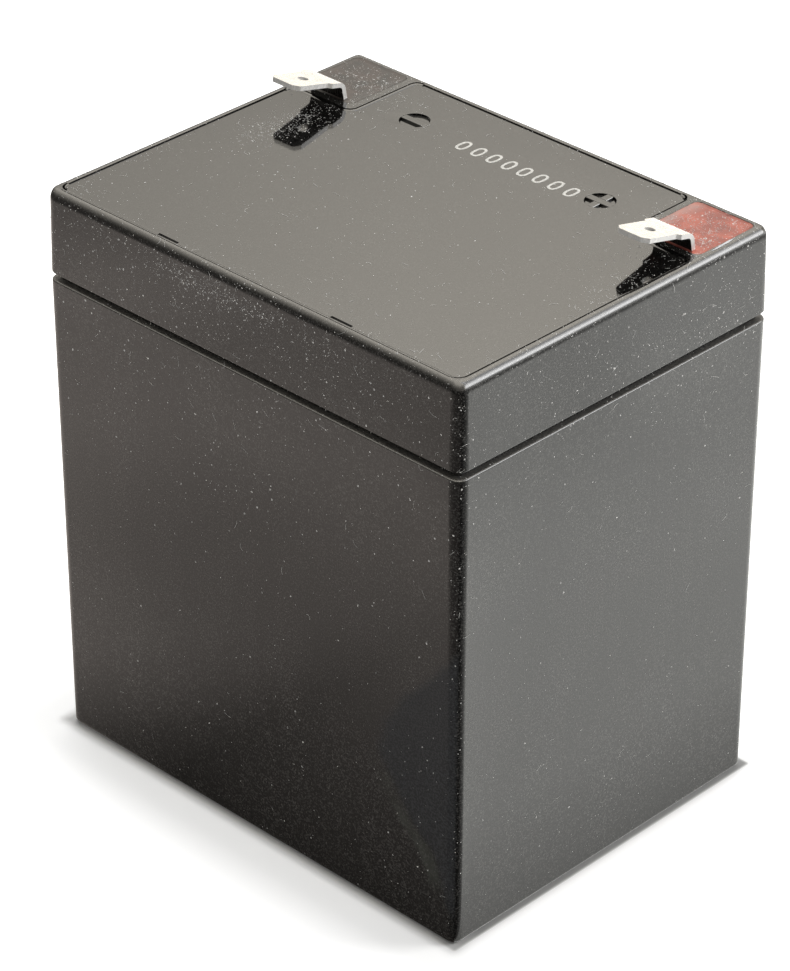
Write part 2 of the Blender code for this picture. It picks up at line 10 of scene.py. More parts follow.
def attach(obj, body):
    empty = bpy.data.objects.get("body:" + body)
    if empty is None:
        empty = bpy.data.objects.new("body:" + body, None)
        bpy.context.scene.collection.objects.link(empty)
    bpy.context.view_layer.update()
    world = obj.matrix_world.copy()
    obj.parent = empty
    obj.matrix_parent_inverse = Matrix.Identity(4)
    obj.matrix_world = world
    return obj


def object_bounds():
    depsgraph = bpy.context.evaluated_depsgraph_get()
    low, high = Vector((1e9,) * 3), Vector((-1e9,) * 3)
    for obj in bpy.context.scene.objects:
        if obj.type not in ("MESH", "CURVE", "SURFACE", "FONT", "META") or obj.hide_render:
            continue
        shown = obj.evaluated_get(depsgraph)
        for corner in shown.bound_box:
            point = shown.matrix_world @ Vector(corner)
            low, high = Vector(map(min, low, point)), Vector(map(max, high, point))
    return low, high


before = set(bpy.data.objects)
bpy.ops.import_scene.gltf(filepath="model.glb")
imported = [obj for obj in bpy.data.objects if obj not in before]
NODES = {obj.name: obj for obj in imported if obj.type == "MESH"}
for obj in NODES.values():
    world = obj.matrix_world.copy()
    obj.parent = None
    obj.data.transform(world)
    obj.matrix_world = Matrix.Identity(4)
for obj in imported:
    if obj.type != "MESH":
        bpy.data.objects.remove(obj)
CAD_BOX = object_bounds()

# Camera, fitted to the photograph
PICTURE_HEIGHT = 971
FOCAL_PIXELS = 4071.77
AZIMUTH = radians(44.3293)
ELEVATION = radians(31.3728)
ROLL = radians(0.0361)
SIDEWAYS = -0.0015068
UPWARDS = -0.0002988
DISTANCE = 0.657343
SHIFT_X = -0.000443
SHIFT_Y = 0.000515
TARGET = Vector((0, 0, 0.0505))

RIGHT = Vector((cos(AZIMUTH), sin(AZIMUTH), 0))
AWAY = Vector((-sin(AZIMUTH), cos(AZIMUTH), 0))
UP = Vector((0, 0, 1))


def make_camera():
    back = Vector((sin(AZIMUTH) * cos(ELEVATION), -cos(AZIMUTH) * cos(ELEVATION), sin(ELEVATION)))
    upright = back.cross(RIGHT)
    across = cos(ROLL) * RIGHT + sin(ROLL) * upright
    upright = -sin(ROLL) * RIGHT + cos(ROLL) * upright
    turn = Matrix((across, upright, back)).transposed()
    data = bpy.data.cameras.new("camera")
    data.sensor_width = 36
    data.lens = FOCAL_PIXELS * data.sensor_width / PICTURE_HEIGHT
    data.shift_x = SHIFT_X
    data.shift_y = SHIFT_Y
    data.clip_start = 0.01
    data.clip_end = 20
    camera = bpy.data.objects.new("camera", data)
    place = TARGET + turn @ Vector((SIDEWAYS, UPWARDS, DISTANCE))
    camera.matrix_world = Matrix.Translation(place) @ turn.to_4x4()
    bpy.context.scene.collection.objects.link(camera)
    bpy.context.scene.camera = camera


make_camera()


# The battery's half sizes, from the bounds of the imported model
HALF_LENGTH = CAD_BOX[1][0]
HALF_WIDTH = CAD_BOX[1][1]

# Sizes repeated from the CAD: the ledge under the lid, the plate on top with its marks, cut-outs and
# notches, the blades' legs and the wells. LEG_LEAN is a slope, forward for each unit up.
LEDGE_TOP = 0.08495
PLATE_TOP = 0.1008
RIM_ABOVE_PLATE = 0.0002
MARK_X = 0.0201
MARK_Y = 0.0228
MARK_RADIUS = 0.00255
MARK_DEPTH = 0.0008
LEG_X = {"negative": -0.03684, "positive": 0.03784}
LEG_Y = 0.0201
LEG_HALF_WIDTH = 0.00375
LEG_HALF_THICKNESS = 0.0004
LEG_LEAN = 0.176
WELL_FRONT = 0.01930
EDGE_X = 0.0430
EDGE_Y = 0.0330
CUT_X = 0.02944
CUT_Y = 0.01754
COVER_RADIUS = 0.0015
WELL_RADIUS = 0.0012
NOTCH_X = 0.0187
NOTCH_HALF = 0.0022
NOTCH_ENDS = (-NOTCH_X - NOTCH_HALF, -NOTCH_X + NOTCH_HALF, NOTCH_X - NOTCH_HALF, NOTCH_X + NOTCH_HALF)

# How high the dark strips of painted shade lie over what they cover, and how far resin climbs the wall on
# its left
SHADE_STRIP_LIFT = 0.000006
LEFT_CLIMB = 0.00018

# The angle past which an edge shows as sharp
SHARP = radians(40)

PLASTIC_COLOUR = (0.0035, 0.0033, 0.0031, 1)
DUST_COLOUR = (0.62, 0.60, 0.56, 1)
GRAIN_COLOUR = (0.86, 0.85, 0.82, 1)
# Painted reflection: flat tones for a dark patch low on the case's front face, and for the paler edge
# along it
PAINTED_REFLECTION_DARK = (0.036, 0.037, 0.039, 1)
PAINTED_REFLECTION_LIGHT = (0.062, 0.063, 0.066, 1)
PAINTED_REFLECTION_EDGE = (0.066, 0.074, 0.062, 1)
# Painted shade for the underside of the tinned strips and the lower front of their legs
PAINTED_SHADE_COLOUR = (0.012, 0.010, 0.009, 1)


# Materials

def new_material(name):
    material = bpy.data.materials.new(name)
    material.use_nodes = True
    tree = material.node_tree
    return material, tree, tree.nodes["Principled BSDF"]


def add(tree, kind, inputs=None, **settings):
    node = tree.nodes.new(kind)
    for key, value in settings.items():
        setattr(node, key, value)
    for key, value in (inputs or {}).items():
        if isinstance(value, bpy.types.NodeSocket):
            tree.links.new(value, node.inputs[key])
        else:
            node.inputs[key].default_value = value
    return node


def calculate(tree, operation, first, second=0.0):
    return add(tree, "ShaderNodeMath", {0: first, 1: second}, operation=operation).outputs[0]


def plus(tree, first, second):
    return calculate(tree, "ADD", first, second)


def minus(tree, first, second):
    return calculate(tree, "SUBTRACT", first, second)


def times(tree, first, second):
    return calculate(tree, "MULTIPLY", first, second)


def larger(tree, first, second):
    return calculate(tree, "MAXIMUM", first, second)


def object_place(tree):
    return add(tree, "ShaderNodeTexCoord").outputs["Object"]


def surface_normal(tree):
    return add(tree, "ShaderNodeNewGeometry").outputs["Normal"]


def coordinates(tree, place):
    parts = add(tree, "ShaderNodeSeparateXYZ", {0: place}).outputs
    return parts["X"], parts["Y"], parts["Z"]


def length_of(tree, place):
    return add(tree, "ShaderNodeVectorMath", {0: place}, operation="LENGTH").outputs["Value"]


def along(tree, place, way):
    """How far a place lies along a direction."""
    node = add(tree, "ShaderNodeVectorMath", {0: place, 1: tuple(way)}, operation="DOT_PRODUCT")
    return node.outputs["Value"]


def moved(tree, place, shift):
    node = add(tree, "ShaderNodeVectorMath", {0: place, 1: tuple(shift)}, operation="ADD")
    return node.outputs[0]


def stretched(tree, place, factors):
    node = add(tree, "ShaderNodeVectorMath", {0: place, 1: factors}, operation="MULTIPLY")
    return node.outputs[0]


def ramp(tree, value, low, high, to_low=0.0, to_high=1.0, soft=False):
    inputs = {"Value": value, "From Min": low, "From Max": high, "To Min": to_low, "To Max": to_high}
    kind = "SMOOTHSTEP" if soft else "LINEAR"
    return add(tree, "ShaderNodeMapRange", inputs, clamp=True, interpolation_type=kind).outputs[0]


def profile(tree, value, points):
    """A curve through (value, result) points, level beyond its ends."""
    first, last = points[0][0], points[-1][0]
    top = max(result for _, result in points)
    node = add(tree, "ShaderNodeValToRGB", {0: ramp(tree, value, first, last)})
    node.color_ramp.interpolation = "LINEAR"
    elements = node.color_ramp.elements
    elements.remove(elements[1])
    for index, (position, result) in enumerate(points):
        share = (position - first) / (last - first)
        element = elements[0] if index == 0 else elements.new(share)
        element.position = share
        level = result / top
        element.color = (level, level, level, 1)
    return times(tree, node.outputs["Color"], top)


def mix(tree, share, first, second):
    return add(tree, "ShaderNodeMix", {0: share, 2: first, 3: second}).outputs[0]


def mix_colour(tree, share, first, second):
    return add(tree, "ShaderNodeMix", {0: share, 6: first, 7: second}, data_type="RGBA").outputs[2]


def noise(tree, place, scale, detail=3.0, output="Fac"):
    node = add(tree, "ShaderNodeTexNoise", {"Vector": place, "Scale": scale, "Detail": detail})
    return node.outputs[output]


def uneven_surface(tree, shader, height, strength, distance):
    bump = add(tree, "ShaderNodeBump", {"Height": height, "Strength": strength, "Distance": distance})
    tree.links.new(bump.outputs[0], shader.inputs["Normal"])


def grain_mask(tree, place, scale, share, size):
    """White where a dust grain lies: one grain in a share of the cells, each of its own size."""
    shift = moved(tree, noise(tree, place, scale * 1.7, 2.0, "Color"), (-0.5, -0.5, -0.5))
    shrink = stretched(tree, shift, (0.9 / scale, 0.9 / scale, 0.9 / scale))
    bent = add(tree, "ShaderNodeVectorMath", {0: place, 1: shrink}, operation="ADD").outputs[0]
    cells = add(tree, "ShaderNodeTexVoronoi", {"Vector": bent, "Scale": scale})
    draw = add(tree, "ShaderNodeSeparateColor", {0: cells.outputs["Color"]})
    present = calculate(tree, "LESS_THAN", draw.outputs[0], share)
    reach = ramp(tree, draw.outputs[1], 0, 1, size * 0.4, size * 1.4)
    inside = calculate(tree, "LESS_THAN", cells.outputs["Distance"], reach)
    return times(tree, present, inside)


def painted_reflection_masks(tree, place):
    """A painted dark reflection low on the front face, near its right end, and a paler painted edge along
    its border.
    """
    wobble = ramp(tree, noise(tree, place, 160.0, 3.0), 0.3, 0.7, -0.0008, 0.0008)
    x, y, z = coordinates(tree, place)
    border = profile(tree, z, [
        (0.004, 0.0445), (0.0115, 0.0416), (0.0162, 0.0392), (0.0193, 0.0355), (0.0228, 0.0318),
        (0.0259, 0.0300), (0.0305, 0.0284), (0.0354, 0.0288), (0.0415, 0.0327), (0.0460, 0.0363),
        (0.0515, 0.0415), (0.0548, 0.0450)])
    past = minus(tree, plus(tree, x, wobble), border)
    within = ramp(tree, past, -0.0012, 0.0020, soft=True)
    front = ramp(tree, y, -0.0340, -0.0345)
    below = ramp(tree, z, 0.0552, 0.0540)
    reflection_patch = times(tree, times(tree, within, front), below)
    rising = ramp(tree, past, -0.0046, -0.0026, soft=True)
    falling = ramp(tree, past, 0.0010, -0.0010, soft=True)
    top_end = ramp(tree, z, 0.0290, 0.0240, soft=True)
    low_end = ramp(tree, z, 0.0070, 0.0120, soft=True)
    streak = times(tree, times(tree, rising, falling), times(tree, top_end, low_end))
    return reflection_patch, times(tree, streak, front)


def moulded_plastic(name, roughness, haze, dust, shelf=0.0, painted_reflection=False):
    """Satin black plastic with handling marks, a thin film of dust and scattered grains, and, when asked
    for, a painted dark reflection low on the front face.
    """
    material, tree, shader = new_material(name)
    place = object_place(tree)
    upward = ramp(tree, along(tree, surface_normal(tree), UP), 0.5, 0.9)
    cloud = noise(tree, place, 45.0, 4.0)
    streaks = noise(tree, stretched(tree, place, (1, 1, 0.10)), 420.0, 2.0)
    speckle = noise(tree, place, 3300.0, 1.0)
    film = ramp(tree, cloud, 0.30, 0.75, haze * 0.45, haze * 1.3)
    specks = ramp(tree, speckle, 0.47, 0.74, 0.0, 8.0)
    bands = ramp(tree, streaks, 0.3, 0.7, 0.75, 1.25)
    film = times(tree, film, times(tree, specks, bands))
    if shelf:
        film = plus(tree, film, times(tree, upward, shelf))
    base = mix_colour(tree, film, PLASTIC_COLOUR, DUST_COLOUR)
    # Painted reflection: inside the patch the gloss is lowered and the colour set to a flat tone, with a
    # paler edge along its border
    if painted_reflection:
        reflection_patch, streak = painted_reflection_masks(tree, place)
        tree.links.new(ramp(tree, reflection_patch, 0, 1, 0.5, 0.14), shader.inputs["Specular IOR Level"])
        reflection_tone = mix_colour(tree, ramp(tree, speckle, 0.40, 0.64), PAINTED_REFLECTION_DARK, PAINTED_REFLECTION_LIGHT)
        base = mix_colour(tree, reflection_patch, base, reflection_tone)
        patchy = ramp(tree, noise(tree, place, 130.0, 2.0), 0.42, 0.62, 0.12, 0.6)
        base = mix_colour(tree, times(tree, streak, patchy), base, PAINTED_REFLECTION_EDGE)
    patches = noise(tree, place, 38.0, 3.0)
    density = ramp(tree, patches, 0.38, 0.72, dust * 0.35, dust * 1.8)
    fine = grain_mask(tree, place, 1500.0, density, 0.10)
    grains = grain_mask(tree, place, 620.0, times(tree, density, 0.8), 0.070)
    every = larger(tree, times(tree, fine, 0.7), grains)
    tree.links.new(mix_colour(tree, every, base, GRAIN_COLOUR), shader.inputs["Base Color"])
    handled = noise(tree, place, 70.0, 5.0)
    satin = ramp(tree, handled, 0.3, 0.8, roughness * 0.75, roughness * 1.4)
    rough = larger(tree, satin, times(tree, every, 0.8))
    if shelf:
        rough = larger(tree, rough, times(tree, upward, 0.6))
    tree.links.new(rough, shader.inputs["Roughness"])
    shader.inputs["IOR"].default_value = 1.55
    uneven_surface(tree, shader, noise(tree, place, 2600.0, 2.0), 0.05, 0.00004)
    return material


def tinned_metal(name):
    """Bright tinned strip with a soft bloom and fine scratches, duller at its cut edges, with painted
    shade on its underside and on the lower front of its leg.
    """
    material, tree, shader = new_material(name)
    place = object_place(tree)
    bloom = noise(tree, place, 900.0, 4.0)
    scratches = noise(tree, stretched(tree, place, (1, 0.06, 0.06)), 5200.0, 2.0)
    both = plus(tree, times(tree, bloom, 0.6), times(tree, scratches, 0.4))
    bright = mix_colour(tree, both, (0.78, 0.77, 0.75, 1), (0.86, 0.85, 0.83, 1))
    facing_x, facing_y, facing_z = coordinates(tree, surface_normal(tree))
    height = coordinates(tree, place)[2]
    # Painted shade: the underside and the lower front of the leg get a near-black colour and less metal
    under = ramp(tree, facing_z, -0.15, -0.45)
    front = times(tree, ramp(tree, facing_y, -0.35, -0.60), ramp(tree, height, 0.1053, 0.1046))
    front = times(tree, front, ramp(tree, calculate(tree, "ABSOLUTE", facing_x), 0.5, 0.2))
    painted_shade = larger(tree, under, front)
    tree.links.new(mix_colour(tree, painted_shade, bright, PAINTED_SHADE_COLOUR), shader.inputs["Base Color"])
    sheen = ramp(tree, facing_z, 0.35, 0.80, 0.12, 1.0)
    metal_share = times(tree, minus(tree, 1.0, painted_shade), sheen)
    tree.links.new(metal_share, shader.inputs["Metallic"])
    tree.links.new(ramp(tree, both, 0.3, 0.7, 0.20, 0.32), shader.inputs["Roughness"])
    uneven_surface(tree, shader, scratches, 0.08, 0.00002)
    return material


def poured_resin(name, low, high, dust, haze, border):
    """Glossy cast resin, mottled, with dust caught on it and a greyer film toward its inner edge."""
    material, tree, shader = new_material(name)
    place = object_place(tree)
    mottle = noise(tree, place, 420.0, 4.0)
    colour = mix_colour(tree, ramp(tree, mottle, 0.35, 0.65), (*low, 1), (*high, 1))
    cloud = noise(tree, place, 170.0, 3.0)
    film = ramp(tree, cloud, 0.35, 0.75, haze * 0.4, haze * 1.5)
    outward = calculate(tree, "ABSOLUTE", coordinates(tree, place)[0])
    ragged = plus(tree, outward, ramp(tree, mottle, 0.3, 0.7, -0.0007, 0.0007))
    film = plus(tree, film, ramp(tree, ragged, 0.0340, 0.0312, 0.0, border, soft=True))
    base = mix_colour(tree, film, colour, DUST_COLOUR)
    grains = grain_mask(tree, place, 1500.0, dust * 1.3, 0.13)
    coarse = grain_mask(tree, place, 700.0, dust * 0.8, 0.09)
    every = larger(tree, grains, coarse)
    tree.links.new(mix_colour(tree, every, base, GRAIN_COLOUR), shader.inputs["Base Color"])
    tree.links.new(ramp(tree, cloud, 0.3, 0.7, 0.20, 0.34), shader.inputs["Roughness"])
    shader.inputs["Specular IOR Level"].default_value = 0.26
    uneven_surface(tree, shader, cloud, 0.10, 0.0002)
    return material


def plain_body(name, low, high, roughness, scale, metallic=0.0):
    """A matt body colour with a fine mottle, for dust, print and the pieces inside the case."""
    material, tree, shader = new_material(name)
    place = object_place(tree)
    mottle = noise(tree, place, scale, 4.0)
    tone = mix_colour(tree, ramp(tree, mottle, 0.3, 0.7), (*low, 1), (*high, 1))
    tree.links.new(tone, shader.inputs["Base Color"])
    shader.inputs["Roughness"].default_value = roughness
    shader.inputs["Metallic"].default_value = metallic
    return material


CASE = moulded_plastic("case_plastic", 0.15, 0.016, 0.05, shelf=0.04, painted_reflection=True)
LID = moulded_plastic("lid_plastic", 0.15, 0.018, 0.12)
COVER = moulded_plastic("cover_plastic", 0.06, 0.006, 0.10)
TINNED = tinned_metal("tinned_metal")
RED = poured_resin("red_resin", (0.26, 0.044, 0.028), (0.52, 0.108, 0.064), 0.36, 0.03, 0.30)
BLACK = poured_resin("black_resin", (0.006, 0.005, 0.005), (0.034, 0.021, 0.017), 0.20, 0.012, 0.06)
RUBBER = plain_body("valve_rubber", (0.010, 0.010, 0.010), (0.020, 0.020, 0.020), 0.75, 900)
LEAD = plain_body("cast_lead", (0.16, 0.17, 0.19), (0.28, 0.29, 0.31), 0.55, 700, 1.0)
NEGATIVE = plain_body("sponge_lead", (0.15, 0.16, 0.17), (0.24, 0.25, 0.26), 0.85, 1200, 0.3)
POSITIVE = plain_body("lead_dioxide", (0.060, 0.036, 0.028), (0.11, 0.066, 0.050), 0.88, 1200)
FIBRE = plain_body("glass_mat", (0.74, 0.74, 0.71), (0.86, 0.86, 0.83), 0.95, 1600)
PRINT = plain_body("print_ink", (0.50, 0.50, 0.47), (0.80, 0.79, 0.75), 0.55, 2600)
# Painted shade: a near-black matt colour for the strips that stand for the shade in the cover's joint and
# in the pry notches
JOINT_SHADE = plain_body("joint_shadow", (0.0015, 0.0015, 0.0015), (0.006, 0.006, 0.006), 0.8, 1500)
JOINT_SHADE.node_tree.nodes["Principled BSDF"].inputs["Specular IOR Level"].default_value = 0.05
# Painted highlight: a pale colour for a strip on the rim along the red resin's edge
PAINTED_RIM_HIGHLIGHT = plain_body("rim_painted_highlight", (0.60, 0.61, 0.63), (0.90, 0.91, 0.93), 0.7, 1800)
SPECK = plain_body("dust_specks", (0.78, 0.77, 0.74), (0.95, 0.94, 0.91), 0.9, 3000)


def dress(name, material, bevel=None):
    item = NODES[name]
    item.data.materials.clear()
    item.data.materials.append(material)
    weld = item.modifiers.new("weld", "WELD")
    weld.merge_threshold = 0.000002
    if bevel:
        soften = item.modifiers.new("soften", "BEVEL")
        soften.width = bevel
        soften.segments = 2
        soften.limit_method = "ANGLE"
        soften.angle_limit = SHARP
        soften.harden_normals = False
    split = item.modifiers.new("split", "EDGE_SPLIT")
    split.split_angle = SHARP
    weigh = item.modifiers.new("weigh", "WEIGHTED_NORMAL")
    weigh.keep_sharp = False


dress("case", CASE)
dress("lid", LID)
dress("vent_cover", COVER, 0.00008)
for side, resin in (("negative", BLACK), ("positive", RED)):
    dress(f"terminal_{side}", TINNED)
    dress(f"epoxy_seal_{side}", resin)
    dress(f"terminal_post_{side}", LEAD)
for index in range(1, 7):
    dress(f"valve_cap_{index}", RUBBER)
    dress(f"cell_{index}_negative_group", NEGATIVE)
    dress(f"cell_{index}_positive_group", POSITIVE)
    for letter in "abc":
        dress(f"separator_{index}{letter}", FIBRE)
for index in range(1, 6):
    dress(f"cell_link_{index}", LEAD)


# Pieces that the photograph shows on the lid

def make_piece(name, vertices, faces, material, smooth=True):
    data = bpy.data.meshes.new(name)
    data.from_pydata([tuple(vertex) for vertex in vertices], [], faces)
    data.validate()
    if smooth:
        data.shade_smooth()
        data.set_sharp_from_angle(angle=SHARP)
    data.materials.append(material)
    piece = bpy.data.objects.new(name, data)
    bpy.context.scene.collection.objects.link(piece)
    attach(piece, "root")


def make_bar(name, x, outline, sunk=0.0):
    """A raised form in a polarity recess, from its floor toward the plate's level, with eased edges."""
    low, high = PLATE_TOP - MARK_DEPTH, PLATE_TOP - sunk
    ease = 0.00012
    vertices, faces = [], []
    count = len(outline)
    middle_u = sum(u for u, _ in outline) / count
    middle_v = sum(v for _, v in outline) / count
    for height, shrink in ((low, 0.0), (high - ease, 0.0), (high - ease / 3, ease / 3), (high, ease)):
        for u, v in outline:
            lean_u = shrink if u < middle_u else -shrink
            lean_v = shrink if v < middle_v else -shrink
            vertices.append((x + u + lean_u, MARK_Y + v + lean_v, height))
    for layer in range(3):
        for index in range(count):
            following = (index + 1) % count
            first, second = layer * count + index, layer * count + following
            faces.append((first, second, second + count, first + count))
    faces.append(tuple(range(3 * count, 4 * count)))
    make_piece(name, vertices, faces, COVER, smooth=False)


def make_marks():
    """The minus and plus that stand in the polarity recesses, and the recesses' raised floors."""
    reach, half = MARK_RADIUS - 0.00004, 0.00065
    rod = [(-reach, -half), (reach, -half), (reach, half), (-reach, half)]
    make_bar("mark_minus", -MARK_X, rod)
    make_bar("mark_plus", MARK_X, rod)
    upper = [(-half, half), (half, half), (half, reach), (-half, reach)]
    lower = [(-half, -reach), (half, -reach), (half, -half), (-half, -half)]
    make_bar("mark_plus_back", MARK_X, upper)
    make_bar("mark_plus_front", MARK_X, lower)
    sides, depth = 48, 0.00042
    ring = [(reach * cos(tau * step / sides), reach * sin(tau * step / sides)) for step in range(sides)]
    make_bar("mark_minus_floor", -MARK_X, ring, depth)
    make_bar("mark_plus_floor", MARK_X, ring, depth)


def cover_edge():
    """The vent cover's outline, with points where the pry notches start and end."""
    corners = [(-EDGE_X, -EDGE_Y), (EDGE_X, -EDGE_Y), (EDGE_X, CUT_Y), (CUT_X, CUT_Y),
               (CUT_X, EDGE_Y), (-CUT_X, EDGE_Y), (-CUT_X, CUT_Y), (-EDGE_X, CUT_Y)]
    points, steps = [], 8
    for index, corner in enumerate(corners):
        middle = Vector(corner)
        before = (Vector(corners[index - 1]) - middle).normalized() * COVER_RADIUS
        after = (Vector(corners[(index + 1) % len(corners)]) - middle).normalized() * COVER_RADIUS
        centre = middle + before + after
        for step in range(steps + 1):
            angle = pi / 2 * step / steps
            points.append(centre - after * cos(angle) - before * sin(angle))
        if index == 0:
            for x in NOTCH_ENDS:
                points.append(Vector((x, -EDGE_Y)))
    return points


def faces_nearest(outward):
    """Whether an edge of the cover looks toward the corner that is nearest in the photograph."""
    return outward.x - outward.y > 0.5


def beside_rim(first, second):
    """Whether a part of the cover's edge runs straight along the rim, away from the cut-outs."""
    along_x = abs(abs(first.x) - EDGE_X) < 0.00001 and abs(first.x - second.x) < 0.00001
    along_y = abs(abs(first.y) - EDGE_Y) < 0.00001 and abs(first.y - second.y) < 0.00001
    return along_x or along_y


def at_far_cutouts(first, second, out_first, out_second):
    return not beside_rim(first, second) and not faces_nearest(out_first)


def on_far_rim(first, second, out_first, out_second):
    return beside_rim(first, second) and not faces_nearest(out_first)


def in_joint_shade(first, second, out_first, out_second):
    return beside_rim(first, second) or faces_nearest(out_first) and faces_nearest(out_second)


def sweep_edge(name, material, section_at, wanted):
    """A thin strip along the wanted parts of the cover's edge, with a section of (outward, up) pairs."""
    path = cover_edge()
    count = len(path)
    vertices, faces, outwards = [], [], []
    for index, point in enumerate(path):
        way = (path[(index + 1) % count] - path[index - 1]).normalized()
        outward = Vector((way.y, -way.x))
        outwards.append(outward)
        for out, height in section_at(outward):
            place = point + outward * out
            vertices.append((place.x, place.y, PLATE_TOP + height))
    size = len(vertices) // count
    for index in range(count):
        following = (index + 1) % count
        if wanted(path[index], path[following], outwards[index], outwards[following]):
            for part in range(size - 1):
                low, high = index * size + part, following * size + part
                faces.append((low, high, high + 1, low + 1))
    make_piece(name, vertices, faces, material)


def cover_lip(outward):
    return [(-0.00034, -0.00001), (-0.00026, 0.00009), (-0.00016, 0.00015), (-0.00006, 0.00018),
            (0.00002, 0.00018), (0.00006, 0.00013), (0.00006, -0.00060)]


def rim_lip(outward):
    over_rim = RIM_ABOVE_PLATE + 0.000003
    return [(0.00055, over_rim), (0.00015, over_rim), (0.00011, 0.00019), (0.00011, -0.00002)]


def joint_shade_section(outward):
    """A strip of painted shade along the joint: beside the plate on the far sides. On the near sides it
    lies on the rim, which hides that place.
    """
    if not faces_nearest(outward):
        return [(-0.00002, 0.0), (0.0, SHADE_STRIP_LIFT), (0.00008, SHADE_STRIP_LIFT), (0.00012, SHADE_STRIP_LIFT)]
    share = max(outward.x, 0)
    middle, half = 0.00066 - 0.00030 * share, 0.00006 + 0.00010 * share
    raised = RIM_ABOVE_PLATE + SHADE_STRIP_LIFT
    return [(middle - half, RIM_ABOVE_PLATE), (middle - half / 2, raised), (middle + half / 2, raised),
            (middle + half, RIM_ABOVE_PLATE)]


def make_edges():
    """The cover's own lip at its cut-outs, the rim's lip over the joint, and a dark strip of painted shade
    along the joint.
    """
    sweep_edge("vent_cover_lip", COVER, cover_lip, at_far_cutouts)
    sweep_edge("rim_lip", LID, rim_lip, on_far_rim)
    sweep_edge("cover_joint_shade", JOINT_SHADE, joint_shade_section, in_joint_shade)


def make_notch_shadows():
    """The dark of the two pry notches, each with one slanting end."""
    outline = [(-1, -0.00030), (1, -0.00030), (1, 0.00045), (-0.1, 0.00040), (-1, 0.00020)]
    vertices, faces = [], []
    for x in (-NOTCH_X, NOTCH_X):
        faces.append(tuple(range(len(vertices), len(vertices) + len(outline))))
        for across, inward in outline:
            vertices.append((x + across * NOTCH_HALF, -EDGE_Y + inward, PLATE_TOP + SHADE_STRIP_LIFT))
    make_piece("notch_shadows", vertices, faces, JOINT_SHADE, smooth=False)


def make_rim_painted_highlight():
    """A painted highlight: a pale strip on the rim beside the red resin, along the resin's edge."""
    chance = random.Random(5)
    start_x, start_y, length, inward, widest = 0.04366, 0.0219, 0.0058, 0.00030, 0.00022
    height = PLATE_TOP + RIM_ABOVE_PLATE + 0.00004
    vertices, faces, steps = [], [], 12
    for step in range(steps + 1):
        share = step / steps
        middle = start_x - inward * share
        half = widest * sin(pi * min(max(share, 0.06), 0.94)) + chance.uniform(-0.00004, 0.00004)
        for side in (-1, 1):
            vertices.append((middle + side * half, start_y + length * share, height))
    for step in range(steps):
        low = 2 * step
        faces.append((low, low + 1, low + 3, low + 2))
    make_piece("rim_painted_highlight", vertices, faces, PAINTED_RIM_HIGHLIGHT, smooth=False)


def make_print():
    """A row of plain ovals, where the lid carries a printed line."""
    first_x, pitch, y, ovals, steps, ink = -0.0081, 0.00331, 0.0217, 8, 28, 0.000012
    outer, inner = (0.00098, 0.00162), (0.00054, 0.00116)
    layers = [(*outer, 0.0), (*outer, ink), (*inner, ink), (*inner, 0.0)]
    vertices, faces = [], []
    for index in range(ovals):
        x = first_x + index * pitch
        first = len(vertices)
        for half_x, half_y, height in layers:
            for step in range(steps):
                u, v = cos(tau * step / steps), sin(tau * step / steps)
                squarer_u = abs(u) ** 0.8 * (1 if u > 0 else -1)
                squarer_v = abs(v) ** 0.8 * (1 if v > 0 else -1)
                vertices.append((x + half_x * squarer_u, y + half_y * squarer_v, PLATE_TOP + height))
        for layer in range(len(layers) - 1):
            low = first + layer * steps
            for step in range(steps):
                following = (step + 1) % steps
                faces.append((low + step, low + following, low + steps + following, low + steps + step))
    make_piece("print_row", vertices, faces, PRINT, smooth=False)


def make_fillet(side, resin):
    """The fillet of resin that climbs the strip's leg."""
    rise, reach, steps, corner = 0.00042, 0.0007, 6, 4
    vertices, faces = [], []
    count = 4 * (corner + 1)
    for step in range(steps + 1):
        t = step / steps
        spread = reach * (1 - t) ** 1.6 - 0.00003 * t
        height = rise * t ** 1.5 - 0.00003 * (1 - t)
        lean = height * LEG_LEAN
        for quarter in range(4):
            sign_x = (1, -1, -1, 1)[quarter]
            sign_y = (1, 1, -1, -1)[quarter]
            for part in range(corner + 1):
                angle = pi / 2 * (quarter + part / corner)
                x = LEG_X[side] + sign_x * LEG_HALF_WIDTH + spread * cos(angle)
                y = LEG_Y - lean + sign_y * LEG_HALF_THICKNESS + spread * sin(angle)
                vertices.append((x, max(y, WELL_FRONT), PLATE_TOP + height))
    for step in range(steps):
        for index in range(count):
            following = (index + 1) % count
            first, second = step * count + index, step * count + following
            faces.append((first, second, second + count, first + count))
    make_piece(f"resin_fillet_{side}", vertices, faces, resin)


